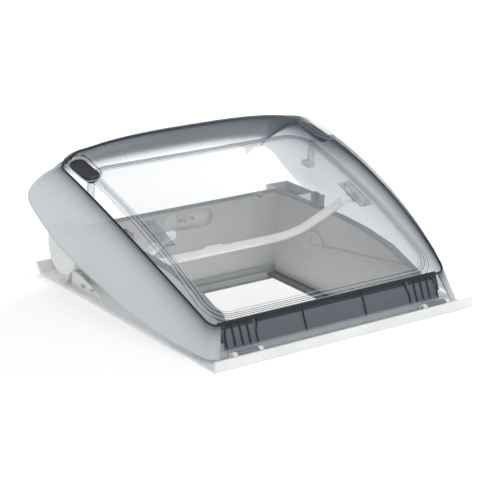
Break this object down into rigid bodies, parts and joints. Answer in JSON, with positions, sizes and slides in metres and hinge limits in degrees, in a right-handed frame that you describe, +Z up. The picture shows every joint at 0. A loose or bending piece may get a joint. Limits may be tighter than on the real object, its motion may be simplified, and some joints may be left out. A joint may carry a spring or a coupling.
{
  "type": "deck hatch",
  "caption": "Square deck and roof hatch with a tinted double dome on a front hinge, a bow handle that props it, an inner trim frame, a pleated shade and an insect screen.",
  "frame": {"origin": "centre of the frame's fixing screws, on the underside of the outer flange, which lies on the deck or roof", "axes": "+X along the hinge edge, +Y from the hinge edge to the opening edge, +Z up out of the deck"},
  "size_m": [0.4958, 0.5223, 0.294],
  "materials": {
    "white_plastic": "fine-grained moulded plastic",
    "gloss_white_plastic": "smooth moulded plastic",
    "grey_plastic": "fine-grained moulded plastic",
    "olive_plastic": "satin moulded plastic",
    "dark_plastic": "polished moulded plastic",
    "smoked_plastic": "smoked see-through plastic",
    "tinted_acrylic": "lightly tinted polished acrylic",
    "clear_acrylic": "clear polished acrylic",
    "clear_plastic": "clear moulded plastic",
    "black_rubber": "matt extruded rubber",
    "sealing_foam": "closed-cell foam tape",
    "screw_steel": "zinc-plated steel",
    "screen_mesh": "fine pleated insect mesh",
    "shade_cloth": "pleated blackout cloth"
  },
  "bodies": {
    "frame": {"outer_frame": "white_plastic", "roof_seal": "sealing_foam", "collar_trim": "black_rubber", "catch_post_left": "grey_plastic", "catch_post_right": "grey_plastic", "post_screws": "screw_steel", "bow_guide_left": "white_plastic", "bow_guide_right": "white_plastic", "latch_keeper_left": "white_plastic", "latch_keeper_right": "white_plastic", "lock_catch": "grey_plastic", "lock_catch_screws": "screw_steel", "hinge_base_left": "dark_plastic", "hinge_base_right": "dark_plastic", "hinge_pin_left": "screw_steel", "hinge_pin_right": "screw_steel", "inner_frame": "white_plastic", "rail_front": "grey_plastic", "rail_rear": "grey_plastic", "screen_pleats": "screen_mesh", "shade_pleats": "shade_cloth", "clamp_clips": "screw_steel", "clamp_screws": "screw_steel"},
    "dome": {"dome_shell": "tinted_acrylic", "inner_pane": "clear_acrylic", "pane_rim": "clear_acrylic", "latch_cap_left": "dark_plastic", "latch_cap_right": "dark_plastic", "latch_hook_left": "clear_plastic", "latch_hook_right": "clear_plastic", "crease_bead": "black_rubber", "front_rail": "smoked_plastic", "bow_bracket_left": "clear_plastic", "bow_bracket_right": "clear_plastic", "bracket_screws": "screw_steel", "vent_plug": "clear_plastic"},
    "bow": {"bow_handle": "gloss_white_plastic", "bow_pins": "screw_steel", "lock_spring": "screw_steel"},
    "button": {"lock_button": "grey_plastic"},
    "screen": {"screen_bar": "olive_plastic", "screen_grip": "olive_plastic"},
    "shade": {"shade_bar": "grey_plastic", "shade_grip": "grey_plastic"}
  },
  "joints": [
    {"name": "dome_tilt", "type": "hinge", "parent": "frame", "child": "dome", "pos_m": [0, -0.226, 0.011], "axis": [1, 0, 0], "range_deg": [-6.5, 43.5]},
    {"name": "bow_swing", "type": "hinge", "parent": "dome", "child": "bow", "pos_m": [0, -0.01278, 0.12185], "axis": [1, 0, 0], "range_deg": [-12, 33]},
    {"name": "button_press", "type": "slide", "parent": "bow", "child": "button", "axis": [0, -0.6018, -0.7986], "range_m": [0, 0.0015], "stiffness_N_per_m": 600, "springref_m": -0.001, "deforming": ["lock_spring"]},
    {"name": "screen_slide", "type": "slide", "parent": "frame", "child": "screen", "axis": [-1, 0, 0], "range_m": [0, 0.3205], "deforming": ["screen_pleats"]},
    {"name": "shade_slide", "type": "slide", "parent": "frame", "child": "shade", "axis": [1, 0, 0], "range_m": [0, 0.3205], "deforming": ["shade_pleats"]}
  ]
}
